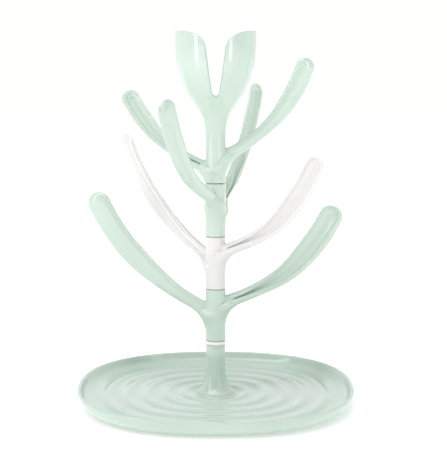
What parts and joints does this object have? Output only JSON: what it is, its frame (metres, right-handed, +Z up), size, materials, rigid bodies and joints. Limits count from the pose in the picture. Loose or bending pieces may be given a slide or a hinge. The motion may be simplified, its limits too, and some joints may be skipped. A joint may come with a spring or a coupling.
{
  "type": "bottle drying rack",
  "caption": "Free-standing drying tree for baby bottles: oval drip tray, flared post, turning branch pieces with paddle arms and a slotted tulip cup on top.",
  "frame": {"origin": "under the post's axis, on the plane that the foot pads stand on", "axes": "+Z up along the trunk, +X along the tray's long axis, front towards -Y"},
  "size_m": [0.2743, 0.2482, 0.3642],
  "materials": {
    "mint_plastic": "smooth glossy pale mint",
    "white_plastic": "smooth glossy warm white",
    "ring_plastic": "smooth milky white",
    "screw_plastic": "moulded mint",
    "soft_seal": "matte translucent silicone"
  },
  "bodies": {
    "base": {"drip_tray": "mint_plastic", "base_post": "mint_plastic", "post_screw": "screw_plastic", "screw_seal": "soft_seal", "joint_ring": "ring_plastic", "foot_pad_1": "soft_seal", "foot_pad_2": "soft_seal", "foot_pad_3": "soft_seal", "foot_pad_4": "soft_seal", "friction_ring_1": "soft_seal"},
    "lower": {"branch_lower": "mint_plastic", "friction_ring_2": "soft_seal"},
    "middle": {"branch_middle": "white_plastic", "friction_ring_3": "soft_seal"},
    "upper": {"branch_upper": "mint_plastic", "friction_ring_4": "soft_seal"},
    "top": {"crown": "mint_plastic"}
  },
  "joints": [
    {"name": "lower_turn", "type": "hinge", "parent": "base", "child": "lower", "pos_m": [0, 0, 0.0615], "axis": [0, 0, 1], "continuous": true},
    {"name": "middle_turn", "type": "hinge", "parent": "lower", "child": "middle", "pos_m": [0, 0, 0.1138], "axis": [0, 0, 1], "continuous": true},
    {"name": "upper_turn", "type": "hinge", "parent": "middle", "child": "upper", "pos_m": [0, 0, 0.1661], "axis": [0, 0, 1], "continuous": true},
    {"name": "crown_turn", "type": "hinge", "parent": "upper", "child": "top", "pos_m": [0, 0, 0.2184], "axis": [0, 0, 1], "continuous": true}
  ]
}
